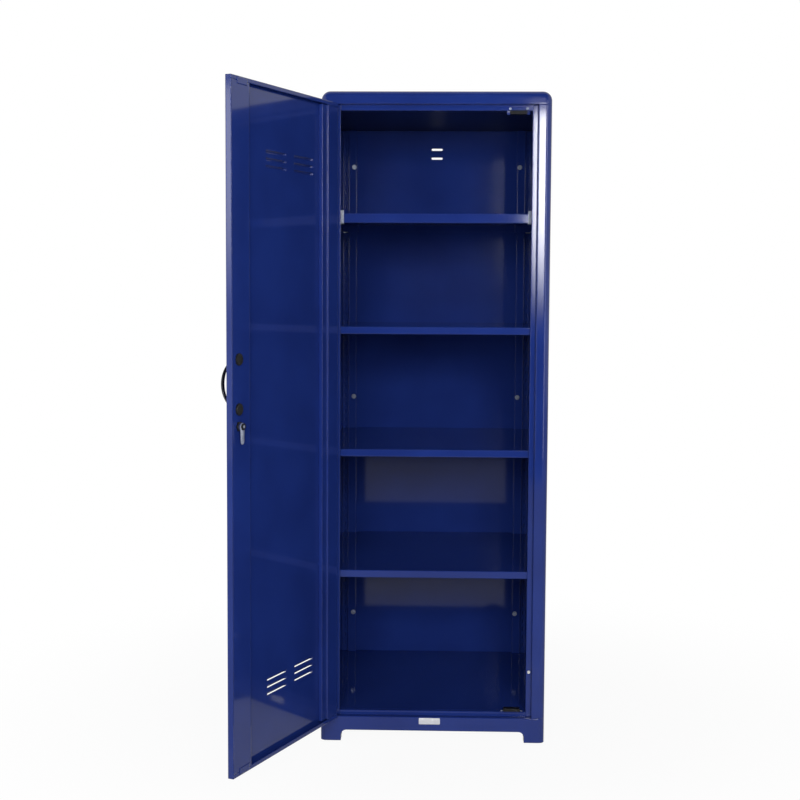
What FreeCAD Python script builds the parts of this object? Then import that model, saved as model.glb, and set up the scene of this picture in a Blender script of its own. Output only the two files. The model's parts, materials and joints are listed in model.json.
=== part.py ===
"""Single-door steel locker cabinet, drawn as a parametric FreeCAD document.

Every sub-part is drawn in the cabinet's drawing axes: X to the right across the front,
Y to the rear from the plane of the front posts, Z up from the floor.  Each one is then
placed so that the part's origin lies on the floor under the middle of the cabinet.
The door's pieces are drawn about the hinge axis with the door shut, and their Placement
swings them to the rest opening.
"""
import FreeCAD
import Part
import Sketcher
import math
import os

Vector = FreeCAD.Vector
doc = FreeCAD.newDocument("locker_cabinet")
sheet = doc.addObject("Spreadsheet::Sheet", "sizes")
sheet.set("A1", "size")
sheet.set("B1", "value")


# ---------------------------------------------------------------- sizes and formulas

class Size:
    """A length with the spreadsheet formula that gives it."""

    def __init__(self, formula, number):
        self.formula = formula
        self.number = float(number)

    def __add__(self, other):
        other = as_size(other)
        return Size(f"({self.formula} + {other.formula})", self.number + other.number)

    def __sub__(self, other):
        other = as_size(other)
        return Size(f"({self.formula} - {other.formula})", self.number - other.number)

    def __mul__(self, other):
        other = as_size(other)
        return Size(f"({self.formula} * {other.formula})", self.number * other.number)

    def __truediv__(self, other):
        other = as_size(other)
        return Size(f"({self.formula} / {other.formula})", self.number / other.number)

    def __neg__(self):
        return Size(f"(0 - {self.formula})", -self.number)

    def __radd__(self, other):
        return as_size(other) + self

    def __rsub__(self, other):
        return as_size(other) - self

    def __rmul__(self, other):
        return as_size(other) * self


def as_size(value):
    """A plain number becomes a Size of its own."""
    if isinstance(value, Size):
        return value
    return Size(repr(float(value)), value)


class SizeTable:
    """Writes every driving size into the sheet and hands it out by its name."""

    def __init__(self, table, rows):
        for row, (alias, number) in enumerate(rows.items(), 2):
            table.set(f"A{row}", alias)
            table.set(f"B{row}", str(number))
            table.setAlias(f"B{row}", alias)
            setattr(self, alias, Size(f"sizes.{alias}", number))


SIZES = {
    # Cabinet body
    "overall_height": 1800,
    "overall_width": 625,
    "overall_depth": 700,
    "body_sheet": 1.2,
    "front_round": 16,
    "top_corner_round": 25,
    "stile_face": 36.5,
    "rebate_depth": 22,
    "flange_width": 15,
    "frame_depth": 34,
    "head_height": 35,
    "base_height": 73,
    "sill_width": 12,
    "arch_height": 34.5,
    "arch_round": 16,
    "foot_width": 56.5,
    "foot_depth": 70,
    "foot_plate_sheet": 3,
    "glide_height": 4,
    "glide_width": 33,
    "glide_corner_cut": 7,
    "glide_stem_width": 8,
    "glide_inset_side": 24.5,
    "glide_inset_end": 30,
    "rail_overlap": 50,
    "back_recess": 20,
    "rear_flange": 18,
    "rear_rail_height": 66,
    "ceiling_drop": 30,
    "vent_length": 35,
    "vent_height": 6.5,
    "vent_drop": 88.5,
    "vent_pitch": 28,
    # Shelf uprights
    "slot_pitch": 26.2,
    "slot_first": 26.6,
    "slot_height": 11,
    "slot_width": 3.4,
    "upright_crown": 26,
    "upright_step": 10,
    "upright_flange": 19,
    "upright_stand_off": 18.8,
    "upright_gap_side": 11.3,
    "front_web_gap": 9.1,
    "front_web_depth": 50,
    "front_web_start": 36,
    "bolt_across_flats": 10,
    "bolt_head": 4,
    "bolt_above_floor": 131,
    "bolt_below_ceiling": 115.5,
    "bolt_middle_drop": 5.5,
    "bolt_inset": 8,
    # Shelves
    "shelf_sheet": 1.2,
    "shelf_lip": 20,
    "shelf_side_gap": 3,
    "shelf_front": 36,
    "shelf_back_gap": 2.8,
    "notch_gap": 4,
    "clip_sheet": 1.5,
    "clip_width": 14,
    "clip_drop": 16,
    "clip_toe": 11,
    "clip_hook": 2.5,
    "hook_clearance": 1,
    "clip_rise": 28,
    "lower_shelf_step": 13,
    "middle_shelf_step": 26,
    "upper_shelf_step": 39,
    "hat_shelf_drop": 295,
    "hat_shelf_front": 80,
    "hat_shelf_lip": 26,
    "bracket_sheet": 2,
    "bracket_height": 36,
    "bracket_leg": 34,
    "bracket_show": 5,
    # Magnetic catches and the plate on the plinth
    "catch_width": 64,
    "top_catch_inset": 38,
    "bottom_catch_inset": 39,
    "catch_sheet": 1.5,
    "catch_stand_out": 5,
    "magnet_height": 10,
    "magnet_depth": 20,
    "strike_sheet": 1,
    "strike_reach": 8,
    "catch_tab": 9,
    "catch_screw_flats": 7,
    "catch_screw_head": 1.6,
    "label_width": 59,
    "label_height": 18,
    "label_sheet": 0.8,
    "label_offset": -8,
    "label_centre_height": 62,
    "label_round": 2,
    # Door stop on the lock stile
    "bumper_width": 8,
    "bumper_height": 10,
    "bumper_gap": 0.5,
    "bumper_rise": 115,
    # Door
    "door_gap": 2,
    "door_thickness": 16,
    "door_proud": 0.5,
    "door_sheet": 1.2,
    "door_edge_round": 2,
    "door_lip": 10.5,
    "hinge_channel_width": 82,
    "hinge_channel_step": 56,
    "hinge_channel_drop": 4,
    "lock_channel_width": 84,
    "louvre_length": 102,
    "louvre_column_gap": 41,
    "louvre_pitch": 18.5,
    "louvre_projection": 7,
    "louvre_end_slope": 6,
    "louvre_centre": 238,
    "louvre_group_offset": 665.5,
    "door_rest_opening": 113,
    # Hinges
    "pin_out": 5,
    "pin_in": 5,
    "knuckle_radius": 4.5,
    "pin_radius": 2.5,
    "pin_clearance": 0.06,
    "knuckle_gap": 0.5,
    "knuckle_face_gap": 0.5,
    "hinge_leaf_height": 100,
    "hinge_door_leaf": 34,
    "leaf_sheet": 1.5,
    "hinge_spacing": 651,
    "hinge_screw_spacing": 34,
    "hinge_screw_flats": 7,
    "hinge_screw_head": 1.4,
    # Handle and lock
    "furniture_line": 31,
    "handle_height": 1034,
    "handle_span": 120,
    "handle_projection": 32,
    "handle_bar": 4.5,
    "handle_width": 10,
    "cap_radius": 14.7,
    "cap_thickness": 5,
    "lock_height": 933,
    "barrel_radius": 9,
    "rosette_radius": 13,
    "rosette_thickness": 3,
    "plug_radius": 6,
    "plug_clearance": 0.05,
    "lock_nut_flats": 22,
    "lock_nut_thickness": 4,
    "cam_gap": 5,
    "cam_sheet": 2,
    "cam_reach": 43,
    "cam_width": 18,
    "cam_screw_flats": 16,
    "cam_screw_thickness": 4,
    "strike_slot_room": 4,
}
size = SizeTable(sheet, SIZES)


# Levels and planes that several pieces share
half_width = size.overall_width / 2
rebate_half = half_width - size.stile_face
opening_half = rebate_half - size.flange_width
inner_half = half_width - size.body_sheet
rebate_top = size.overall_height - size.head_height
opening_top = rebate_top - size.flange_width
floor_level = size.base_height + size.sill_width
ceiling_level = size.overall_height - size.ceiling_drop
back_front_face = size.overall_depth - size.back_recess - size.body_sheet
slot_datum = floor_level + size.slot_first
door_outer = -size.door_proud
door_inner = door_outer + size.door_thickness
door_half = rebate_half - size.door_gap
door_width = door_half * 2
door_bottom = size.base_height + size.door_gap
door_top = rebate_top - size.door_gap
door_middle = (door_top + door_bottom) / 2
pivot_x = -(rebate_half + size.pin_in)
pivot_y = -size.pin_out
margin = as_size(5)


# ---------------------------------------------------------------- drawing helpers

def bind(item, prop, amount):
    """Tie one property of a document object to a size."""
    item.setExpression(prop, as_size(amount).formula)


def box(name, x_range, y_range, z_range):
    """Block between two X, two Y and two Z sizes."""
    item = doc.addObject("Part::Box", name)
    lows = [as_size(pair[0]) for pair in (x_range, y_range, z_range)]
    highs = [as_size(pair[1]) for pair in (x_range, y_range, z_range)]
    for prop, low, high in zip(("Length", "Width", "Height"), lows, highs):
        bind(item, prop, high - low)
    for axis, low in zip("xyz", lows):
        bind(item, f"Placement.Base.{axis}", low)
    return item


TURN_TO = {
    "+x": FreeCAD.Rotation(Vector(0, 1, 0), 90),
    "+y": FreeCAD.Rotation(Vector(1, 0, 0), -90),
    "+z": FreeCAD.Rotation(),
    "-y": FreeCAD.Rotation(Vector(1, 0, 0), 90),
}


def stand(item, start, direction):
    """Put an upright primitive at a start point and turn it to a direction."""
    item.Placement = FreeCAD.Placement(Vector(), TURN_TO[direction])
    for axis, value in zip("xyz", start):
        bind(item, f"Placement.Base.{axis}", value)
    return item


def cylinder(name, radius, length, start, direction="+z"):
    """Cylinder from a start point along an axis."""
    item = doc.addObject("Part::Cylinder", name)
    bind(item, "Radius", radius)
    bind(item, "Height", length)
    return stand(item, start, direction)


def hexagon(name, across_flats, length, start, direction):
    """Hexagonal prism from a start point along an axis."""
    item = doc.addObject("Part::Prism", name)
    item.Polygon = 6
    bind(item, "Circumradius", as_size(across_flats) / math.sqrt(3))
    bind(item, "Height", length)
    return stand(item, start, direction)


def fuse(name, items):
    """One solid from several."""
    if len(items) == 1:
        return items[0]
    item = doc.addObject("Part::MultiFuse", name)
    item.Shapes = items
    return item


def cut(name, base, tools):
    """Base without the tools."""
    item = doc.addObject("Part::Cut", name)
    item.Base = base
    item.Tool = fuse(name + "_tools", tools)
    return item


def common(name, first, second):
    """What two objects share."""
    item = doc.addObject("Part::MultiCommon", name)
    item.Shapes = [first, second]
    return item


def group(name, items):
    """Separate solids kept together as one node."""
    item = doc.addObject("Part::Compound", name)
    item.Links = items
    return item


PLANES = {
    "XY": ("XY_Plane", 1),
    "XZ": ("XZ_Plane", -1),
    "YZ": ("YZ_Plane", 1),
}


def body_sketch(body, name, plane, level, points):
    """Closed polygon sketch on one of the body's own planes, every corner bound."""
    role, sign = PLANES[plane]
    sketch = body.newObject("Sketcher::SketchObject", name)
    own_plane = [item for item in body.Origin.OriginFeatures if item.Role == role][0]
    sketch.AttachmentSupport = [(own_plane, "")]
    sketch.MapMode = "FlatFace"
    bind(sketch, "AttachmentOffset.Base.z", as_size(level) * sign)
    corners = [(as_size(across), as_size(up)) for across, up in points]
    places = [Vector(across.number, up.number, 0) for across, up in corners]
    for index, place in enumerate(places):
        sketch.addGeometry(Part.LineSegment(place, places[(index + 1) % len(places)]))
    for index in range(len(places)):
        following = (index + 1) % len(places)
        sketch.addConstraint(Sketcher.Constraint("Coincident", index, 2, following, 1))
    for index, (across, up) in enumerate(corners):
        for kind, value in (("DistanceX", across), ("DistanceY", up)):
            rule = Sketcher.Constraint(kind, -1, 1, index, 1, value.number)
            number = sketch.addConstraint(rule)
            sketch.setExpression(f"Constraints[{number}]", value.formula)
    return sketch


def profile(name, plane, points, low, high, rounded=None):
    """PartDesign body: a polygon padded between two levels across its plane.

    rounded maps a radius to the numbers of the corners that it rounds.
    """
    sign = PLANES[plane][1]
    body = doc.addObject("PartDesign::Body", name)
    sketch = body_sketch(body, name + "_sketch", plane, low, points)
    pad = body.newObject("PartDesign::Pad", name + "_pad")
    pad.Profile = sketch
    pad.Reversed = sign < 0
    bind(pad, "Length", as_size(high) - as_size(low))
    feature = pad
    for number, (radius, corners) in enumerate(rounded or []):
        doc.recompute()
        chosen = []
        for corner in corners:
            across, up = (as_size(value).number for value in points[corner])
            chosen += upright_edges(feature, plane, across, up)
        fillet = body.newObject("PartDesign::Fillet", f"{name}_round_{number}")
        fillet.Base = (feature, chosen)
        bind(fillet, "Radius", radius)
        feature = fillet
    return body


def in_plane(point, plane):
    """The two coordinates of a point that lie in a drawing plane."""
    return {
        "XY": (point.x, point.y),
        "XZ": (point.x, point.z),
        "YZ": (point.y, point.z),
    }[plane]


def upright_edges(feature, plane, across, up):
    """Names of the edges that stand on one corner of a padded polygon."""
    found = []
    for number, edge in enumerate(feature.Shape.Edges, 1):
        ends = [in_plane(vertex.Point, plane) for vertex in edge.Vertexes]
        if len(ends) == 2 and all(math.dist(end, (across, up)) < 1e-4 for end in ends):
            found.append(f"Edge{number}")
    return found


def round_front(body, front, radius, above):
    """Round the edges of a body's front face that reach above a level."""
    doc.recompute()
    feature = body.Tip
    chosen = []
    for number, edge in enumerate(feature.Shape.Edges, 1):
        bounds = edge.BoundBox
        if bounds.YMax < front.number + 1e-4 and bounds.ZMax > above.number:
            chosen.append(f"Edge{number}")
    fillet = body.newObject("PartDesign::Fillet", body.Name + "_front_round")
    fillet.Base = (feature, chosen)
    bind(fillet, "Radius", radius)


def sheet_path(points, thickness):
    """Closed outline of sheet bent along an axis-parallel path, to the path's left."""
    corners = [(as_size(across), as_size(up)) for across, up in points]
    normals = []
    for (start_x, start_y), (end_x, end_y) in zip(corners, corners[1:]):
        run_x = end_x.number - start_x.number
        run_y = end_y.number - start_y.number
        length = math.hypot(run_x, run_y)
        normals.append((round(-run_y / length), round(run_x / length)))
    inner = []
    for index, (across, up) in enumerate(corners):
        near = {normals[max(index - 1, 0)], normals[min(index, len(normals) - 1)]}
        shift_x = sum(normal[0] for normal in near)
        shift_y = sum(normal[1] for normal in near)
        inner.append((across + thickness * shift_x, up + thickness * shift_y))
    return corners + inner[::-1]


def rectangle(low_x, high_x, low_y, high_y):
    """Corners of a rectangle, anticlockwise from the lower left."""
    return [(low_x, low_y), (high_x, low_y), (high_x, high_y), (low_x, high_y)]


PRIMITIVES = ("Part::Box", "Part::Cylinder", "Part::Prism")
finished = []


def subpart(name, item, kind="cabinet"):
    """Label a finished piece and place it in the part's frame."""
    if item.TypeId in PRIMITIVES:
        item = group(name + "_solid", [item])
    item.Label = name
    if kind == "door":
        swing = FreeCAD.Rotation(Vector(0, 0, -1), size.door_rest_opening.number)
        item.Placement = FreeCAD.Placement(Vector(), swing)
        bind(item, "Placement.Rotation.Angle", size.door_rest_opening)
        bind(item, "Placement.Base.x", pivot_x)
        bind(item, "Placement.Base.y", pivot_y - size.overall_depth / 2)
    else:
        bind(item, "Placement.Base.y", -size.overall_depth / 2)
    finished.append(item)
    return item


def mirrored(x_range, side):
    """An X range given for the right side, for side +1 or -1."""
    if side > 0:
        return x_range
    return (-as_size(x_range[1]), -as_size(x_range[0]))


SIDES = (("left", -1), ("right", 1))


# ---------------------------------------------------------------- front frame

def rounded_slab(name, inset, back):
    """Slab of the front frame with rounded upper corners and front edges."""
    half = half_width - inset
    top = size.overall_height - inset
    bottom = size.glide_height
    body = profile(
        name, "XZ", rectangle(-half, half, bottom, top), inset, back,
        [(size.top_corner_round - inset, [2, 3])],
    )
    round_front(body, as_size(inset), size.front_round - inset, bottom + 1)
    return body


def frame_openings(name, grow):
    """Rebate, doorway and foot arch that are cut out of the slab, grown all round."""
    rebate = box(
        name + "_rebate", (-rebate_half - grow, rebate_half + grow),
        (-margin, size.rebate_depth + grow), (size.base_height - grow, rebate_top + grow),
    )
    doorway = box(
        name + "_doorway", (-opening_half - grow, opening_half + grow),
        (-margin, size.frame_depth + margin), (floor_level - grow, opening_top + grow),
    )
    arch_half = half_width - size.foot_width
    arch = profile(
        name + "_arch", "XZ",
        rectangle(-arch_half - grow, arch_half + grow, 0, size.arch_height + grow),
        -margin, size.frame_depth + margin, [(size.arch_round, [2, 3])],
    )
    return [rebate, doorway, arch]


frame_outside = cut("frame_outside", rounded_slab("frame_slab", as_size(0), size.frame_depth),
                    frame_openings("frame_cuts", as_size(0)))
frame_inside = cut("frame_inside",
                   rounded_slab("frame_core", size.body_sheet, size.frame_depth + margin),
                   frame_openings("frame_core_cuts", size.body_sheet))
frame_shell = cut("frame_shell", frame_outside, [frame_inside])

everywhere_x = (-half_width - margin, half_width + margin)
everywhere_y = (-margin, size.frame_depth + margin)
head_zone = fuse("head_zone", [
    box("head_band", everywhere_x, everywhere_y, (rebate_top, size.overall_height + margin)),
    box("head_flange", (-opening_half, opening_half), everywhere_y,
        (opening_top - size.rail_overlap, size.overall_height + margin)),
])
base_zone = fuse("base_zone", [
    box("base_band", everywhere_x, everywhere_y, (0, size.base_height)),
    box("base_flange", (-opening_half, opening_half), everywhere_y,
        (0, floor_level + size.rail_overlap)),
])
subpart("head_rail", common("head_rail_shape", frame_shell, head_zone))
subpart("base_rail", common("base_rail_shape", frame_shell, base_zone))

hinge_zone = box("hinge_zone", (-half_width - margin, -opening_half), everywhere_y,
                 (size.base_height, rebate_top))
subpart("hinge_stile", common("hinge_stile_shape", frame_shell, hinge_zone))
lock_zone = box("lock_zone", (opening_half, half_width + margin), everywhere_y,
                (size.base_height, rebate_top))
strike_slot = box(
    "strike_slot", (opening_half - margin, opening_half + margin),
    (size.rebate_depth + size.body_sheet, size.frame_depth + margin),
    (size.lock_height - size.cam_reach - size.strike_slot_room, size.lock_height + size.cam_width / 2
     + size.strike_slot_room),
)
subpart("lock_stile", cut("lock_stile_shape",
                          common("lock_stile_whole", frame_shell, lock_zone), [strike_slot]))


# ---------------------------------------------------------------- body sheets

side_top = size.overall_height - size.top_corner_round
side_arch_ends = (size.foot_depth, size.overall_depth - size.foot_depth)
for side_name, side in SIDES:
    outer = half_width * side
    outline = sheet_path(
        [(outer, size.frame_depth), (outer, size.overall_depth),
         (outer - size.rear_flange * side, size.overall_depth)], size.body_sheet * side)
    whole = profile(f"side_{side_name}_whole", "XY", outline, size.glide_height, side_top)
    arch = profile(
        f"side_{side_name}_arch", "YZ",
        rectangle(side_arch_ends[0], side_arch_ends[1], 0, size.arch_height),
        outer - margin, outer + margin, [(size.arch_round, [2, 3])])
    subpart(f"side_{side_name}", cut(f"side_{side_name}_shape", whole, [arch]))

roof_low = side_top - margin * 4


def roof_bar(name, inset, front, back):
    """Long bar with the roof's rounded upper edges, drawn in by an inset."""
    return profile(
        name, "XZ",
        rectangle(-half_width + inset, half_width - inset, roof_low, size.overall_height - inset),
        front, back, [(size.top_corner_round - inset, [2, 3])])


roof_block = roof_bar("roof_block", as_size(0), size.frame_depth, size.overall_depth)
roof_core = roof_bar("roof_core", size.body_sheet, size.frame_depth - margin,
                     size.overall_depth - size.body_sheet)
roof_mouth = roof_bar("roof_mouth", size.rear_flange, size.overall_depth - margin,
                      size.overall_depth + margin)
roof_below = box("roof_below", everywhere_x, (size.frame_depth - margin, size.overall_depth + margin),
                 (roof_low - margin, side_top))
subpart("top_panel", cut("top_panel_shape", roof_block, [roof_core, roof_mouth, roof_below]))


def vent(name, height):
    """Rounded vent slot through the back panel."""
    half = size.vent_length / 2
    low = height - size.vent_height / 2
    return profile(
        name, "XZ", rectangle(-half, half, low, low + size.vent_height),
        back_front_face - margin, back_front_face + margin,
        [(size.vent_height * 0.49, [0, 1, 2, 3])])


upper_vent = size.overall_height - size.vent_drop
back_whole = profile(
    "back_whole", "XZ",
    rectangle(-inner_half, inner_half, size.arch_height, size.overall_height - size.body_sheet),
    back_front_face, back_front_face + size.body_sheet,
    [(size.top_corner_round - size.body_sheet, [2, 3])])
subpart("back_panel", cut("back_panel_shape", back_whole, [
    vent("vent_upper", upper_vent), vent("vent_lower", upper_vent - size.vent_pitch)]))

inner_sheet_y = (size.frame_depth, back_front_face)
subpart("floor_panel", box("floor_panel_shape", (-inner_half, inner_half), inner_sheet_y,
                           (floor_level - size.body_sheet, floor_level)))
subpart("ceiling_panel", box("ceiling_panel_shape", (-inner_half, inner_half),
                             inner_sheet_y, (ceiling_level, ceiling_level + size.body_sheet)))
rear_rail_top = size.arch_height + size.rear_rail_height
rail_back = size.overall_depth - size.body_sheet
rear_rail_whole = profile(
    "rear_rail_whole", "YZ",
    sheet_path([(rail_back, size.glide_height), (rail_back, rear_rail_top),
                (back_front_face + size.body_sheet, rear_rail_top)], size.body_sheet),
    -inner_half, inner_half)
rear_arch_half = half_width - size.foot_width
rear_arch = profile(
    "rear_arch", "XZ", rectangle(-rear_arch_half, rear_arch_half, 0, size.arch_height),
    rail_back - margin, rail_back + margin, [(size.arch_round, [2, 3])])
subpart("rear_rail", cut("rear_rail_shape", rear_rail_whole, [rear_arch]))


# ---------------------------------------------------------------- feet and glides

ENDS = (("front", size.glide_inset_end), ("rear", size.overall_depth - size.glide_inset_end))
glide_reach = half_width - size.glide_inset_side
stem_half = size.glide_stem_width / 2
stem_span = (glide_reach - stem_half, glide_reach + stem_half)


def pad_outline(x, y):
    """Square pad with its four corners cut off."""
    half = size.glide_width / 2
    flat = half - size.glide_corner_cut
    return [(x - flat, y - half), (x + flat, y - half), (x + half, y - flat), (x + half, y + flat),
            (x + flat, y + half), (x - flat, y + half), (x - half, y + flat), (x - half, y - flat)]


plates = []
for end_name, glide_y in ENDS:
    for side_name, side in SIDES:
        corner = f"{end_name}_{side_name}"
        if end_name == "front":
            plate_y = (size.front_round, size.foot_depth)
        else:
            plate_y = (size.overall_depth - size.foot_depth, size.overall_depth - size.body_sheet * 2)
        plate = box(
            f"foot_plate_{corner}", mirrored((half_width - size.foot_width + size.body_sheet,
                                              inner_half), side),
            plate_y, (size.glide_height, size.glide_height + size.foot_plate_sheet))
        stem_x = mirrored(stem_span, side)
        stem_y = (glide_y - stem_half, glide_y + stem_half)
        hole = box(f"glide_hole_{corner}", stem_x, stem_y,
                   (size.glide_height - margin, size.glide_height + margin))
        plates.append(cut(f"foot_plate_{corner}_punched", plate, [hole]))
        pad = profile(f"glide_pad_{corner}", "XY", pad_outline(glide_reach * side, glide_y),
                      as_size(0), size.glide_height)
        stem = box(f"glide_stem_{corner}", stem_x, stem_y,
                   (0, size.glide_height + size.foot_plate_sheet * 2))
        subpart(f"glide_{corner}", fuse(f"glide_{corner}_shape", [pad, stem]))
subpart("foot_plates", group("foot_plates_shape", plates))


# ---------------------------------------------------------------- shelf uprights

def perforate(body, name, plane, level, across):
    """Row of shelf slots up the whole upright, as a pocket and a linear pattern."""
    sketch = body_sketch(
        body, name + "_slot_sketch", plane, level,
        rectangle(across - size.slot_width / 2, across + size.slot_width / 2,
                  slot_datum - size.slot_height / 2, slot_datum + size.slot_height / 2))
    pocket = body.newObject("PartDesign::Pocket", name + "_slot")
    pocket.Profile = sketch
    pocket.Midplane = True
    bind(pocket, "Length", margin * 2)
    doc.recompute()
    pattern = body.newObject("PartDesign::LinearPattern", name + "_slots")
    pattern.Originals = [pocket]
    up = [item for item in body.Origin.OriginFeatures if item.Role == "Z_Axis"][0]
    pattern.Direction = (up, [""])
    pattern.Mode = "Spacing"
    bind(pattern, "Offset", size.slot_pitch)
    room = ceiling_level - slot_datum - size.slot_height
    pattern.setExpression("Occurrences", f"floor({(room / size.slot_pitch).formula}) + 1")
    body.Tip = pattern
    return body


flange_far = inner_half - size.upright_gap_side
crown_far = flange_far - size.upright_flange
crown_near = crown_far - size.upright_crown
flange_face = back_front_face - size.upright_stand_off + size.upright_step
crown_face = back_front_face - size.upright_stand_off
slot_line = (crown_far + flange_far) / 2
web_face = inner_half - size.front_web_gap - size.body_sheet
web_back = size.front_web_start + size.front_web_depth
web_slot_line = (size.front_web_start + web_back) / 2
for side_name, side in SIDES:
    rear = profile(
        f"upright_rear_{side_name}_shape", "XY",
        sheet_path([
            (crown_near * side, back_front_face), (crown_near * side, crown_face),
            (crown_far * side, crown_face), (crown_far * side, flange_face),
            (flange_far * side, flange_face), (flange_far * side, back_front_face),
        ], size.body_sheet * side),
        floor_level, ceiling_level)
    perforate(rear, f"rear_{side_name}", "XZ", flange_face, slot_line * side)
    subpart(f"upright_rear_{side_name}", rear)
    front = profile(
        f"upright_front_{side_name}_shape", "XY",
        sheet_path([
            (inner_half * side, size.front_web_start), (web_face * side, size.front_web_start),
            (web_face * side, web_back), (inner_half * side, web_back),
        ], -size.body_sheet * side),
        floor_level, ceiling_level)
    perforate(front, f"front_{side_name}", "YZ", web_face * side, web_slot_line)
    subpart(f"upright_front_{side_name}", front)

bolt_line = crown_near + size.bolt_inset
bolts = []
for side_name, side in SIDES:
    for level_name, level in (
            ("low", floor_level + size.bolt_above_floor),
            ("middle", (floor_level + ceiling_level) / 2 - size.bolt_middle_drop),
            ("high", ceiling_level - size.bolt_below_ceiling)):
        name = f"bolt_{side_name}_{level_name}"
        place = (bolt_line * side, crown_face, level)
        bolts.append(hexagon(name, size.bolt_across_flats, size.bolt_head, place, "-y"))
subpart("upright_bolts", group("upright_bolts_shape", bolts))


# ---------------------------------------------------------------- shelves

def tray(name, outline, wall, top, lip):
    """Pressed tray open below: an outline with a lip of sheet turned down all round."""
    body = profile(name, "XY", outline, top - lip, top)
    doc.recompute()
    before = body.Shape.Volume
    sketch = body_sketch(body, name + "_inside", "XY", top - size.shelf_sheet, wall)
    pocket = body.newObject("PartDesign::Pocket", name + "_hollow")
    pocket.Profile = sketch
    bind(pocket, "Length", lip)
    doc.recompute()
    if body.Shape.Volume > before * 0.5:
        raise RuntimeError(f"{name}: the tray is not hollow")
    return body


shelf_back = back_front_face - size.shelf_back_gap
notch_front = crown_face - size.notch_gap
notch_side = crown_near - size.notch_gap
shelf_half = web_face - size.shelf_side_gap


def notched(front_edge, grow_in):
    """Shelf outline with its two rear corners cut away round the uprights."""
    half = shelf_half - grow_in
    front = front_edge + grow_in
    back = shelf_back - grow_in
    corner_x = notch_side - grow_in
    corner_y = notch_front - grow_in
    return [(-half, front), (half, front), (half, corner_y), (corner_x, corner_y),
            (corner_x, back), (-corner_x, back), (-corner_x, corner_y), (-half, corner_y)]


def clips(shelf, top):
    """Four hook-in clips that carry one shelf."""
    seat = top - size.shelf_lip
    hook_half = size.slot_height / 2 - size.hook_clearance
    pieces = []
    for side_name, side in SIDES:
        name = f"{shelf}_clip_front_{side_name}"
        across = (web_slot_line - size.clip_width / 2, web_slot_line + size.clip_width / 2)
        plate = box(name + "_plate", mirrored((web_face - size.clip_sheet, web_face), side),
                    across, (seat - size.clip_drop, seat))
        toe = box(name + "_toe", mirrored((web_face - size.clip_toe, web_face), side),
                  across, (seat - size.clip_sheet, seat))
        hook_z = top - size.clip_rise
        hook_y = (web_slot_line - size.clip_sheet / 2, web_slot_line + size.clip_sheet / 2)
        hook = box(name + "_hook", mirrored((web_face, web_face + size.clip_hook), side),
                   hook_y, (hook_z - hook_half, hook_z + hook_half))
        pieces.append(fuse(name, [plate, toe, hook]))

        name = f"{shelf}_clip_rear_{side_name}"
        across = mirrored((slot_line - size.clip_width / 2, slot_line + size.clip_width / 2), side)
        plate = box(name + "_plate", across, (flange_face - size.clip_sheet, flange_face),
                    (seat - size.clip_drop, seat))
        toe = box(name + "_toe", across, (notch_front - size.clip_toe, flange_face),
                  (seat - size.clip_sheet, seat))
        hook_x = mirrored((slot_line - size.clip_sheet / 2, slot_line + size.clip_sheet / 2), side)
        hook = box(name + "_hook", hook_x, (flange_face, flange_face + size.clip_hook),
                   (hook_z - hook_half, hook_z + hook_half))
        pieces.append(fuse(name, [plate, toe, hook]))
    subpart(f"{shelf}_clips", group(f"{shelf}_clips_shape", pieces))


def shelf_top(step):
    """Level of a shelf whose clips hook into a numbered slot."""
    return slot_datum + size.slot_pitch * step + size.clip_rise


for shelf, step in (("lower_shelf", size.lower_shelf_step), ("middle_shelf", size.middle_shelf_step),
                    ("upper_shelf", size.upper_shelf_step)):
    top = shelf_top(step)
    subpart(shelf, tray(shelf + "_shape", notched(size.shelf_front, as_size(0)),
                        notched(size.shelf_front, size.shelf_sheet), top, size.shelf_lip))
    clips(shelf, top)

hat_top = ceiling_level - size.hat_shelf_drop
subpart("hat_shelf", tray("hat_shelf_shape", notched(size.hat_shelf_front, as_size(0)),
                          notched(size.hat_shelf_front, size.shelf_sheet),
                          hat_top, size.hat_shelf_lip))
bracket_seat = hat_top - size.hat_shelf_lip
bracket_z = (bracket_seat - size.bracket_sheet, bracket_seat - size.bracket_sheet + size.bracket_height)
toe_z = (bracket_z[0], bracket_seat)
bracket_front = size.hat_shelf_front - size.bracket_sheet
bracket_edge = opening_half - size.bracket_show
rear_across = (slot_line - size.clip_width / 2, slot_line + size.clip_width / 2)
brackets = []
for side_name, side in SIDES:
    name = f"hat_bracket_front_{side_name}"
    across = mirrored((bracket_edge, web_face), side)
    plate = box(name + "_plate", across, (bracket_front, size.hat_shelf_front), bracket_z)
    leg = box(name + "_leg", mirrored((web_face - size.bracket_sheet, web_face), side),
              (bracket_front, bracket_front + size.bracket_leg), bracket_z)
    toe = box(name + "_toe", across, (bracket_front, bracket_front + size.bracket_leg), toe_z)
    brackets.append(fuse(name, [plate, leg, toe]))

    name = f"hat_bracket_rear_{side_name}"
    across = mirrored(rear_across, side)
    plate = box(name + "_plate", across, (flange_face - size.bracket_sheet, flange_face), bracket_z)
    toe = box(name + "_toe", across, (notch_front - size.clip_toe, flange_face), toe_z)
    brackets.append(fuse(name, [plate, toe]))
subpart("hat_shelf_brackets", group("hat_shelf_brackets_shape", brackets))


# ---------------------------------------------------------------- catches and label

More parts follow.
